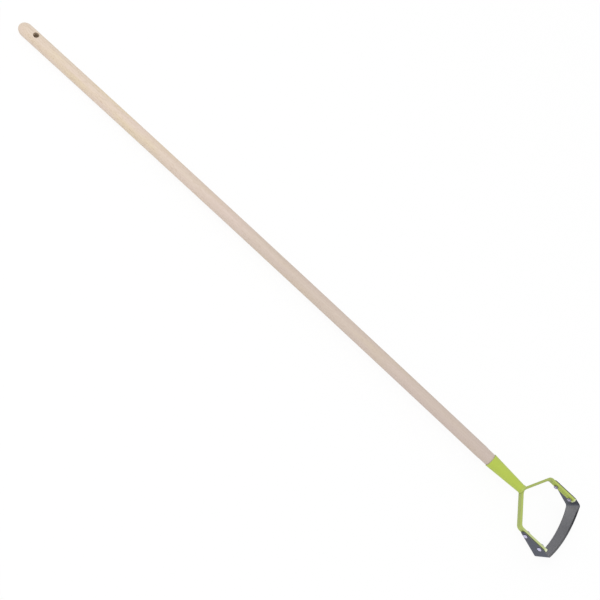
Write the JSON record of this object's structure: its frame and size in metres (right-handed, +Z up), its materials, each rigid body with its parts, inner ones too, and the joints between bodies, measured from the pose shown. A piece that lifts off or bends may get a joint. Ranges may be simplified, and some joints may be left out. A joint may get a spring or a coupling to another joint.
{
  "type": "garden scraper",
  "caption": "A long-handled stirrup scraper hoe: ash handle, lime enamelled steel socket and fork, and a bowed grey steel blade bolted across the fork, lying at rest.",
  "frame": {"origin": "middle of the bounding box's bottom face, on the ground", "axes": "+X runs from the handle's butt end to the blade, +Y across the head to its left, +Z up"},
  "size_m": [1.4458, 0.1434, 0.0529],
  "materials": {
    "ash_wood": "sanded, clear oiled",
    "lime_enamel": "semi-gloss powder coat",
    "tempered_steel": "dark grey, satin, ground edges",
    "bright_zinc": "bright zinc plate"
  },
  "bodies": {
    "root": {"handle": "ash_wood", "socket": "lime_enamel", "handle_screw": "bright_zinc", "fork": "lime_enamel", "fork_weld": "lime_enamel", "blade": "tempered_steel", "bolt_1_left": "bright_zinc", "bolt_1_right": "bright_zinc", "bolt_2_left": "bright_zinc", "bolt_2_right": "bright_zinc", "nut_1_left": "bright_zinc", "nut_1_right": "bright_zinc", "nut_2_left": "bright_zinc", "nut_2_right": "bright_zinc"}
  },
  "joints": []
}
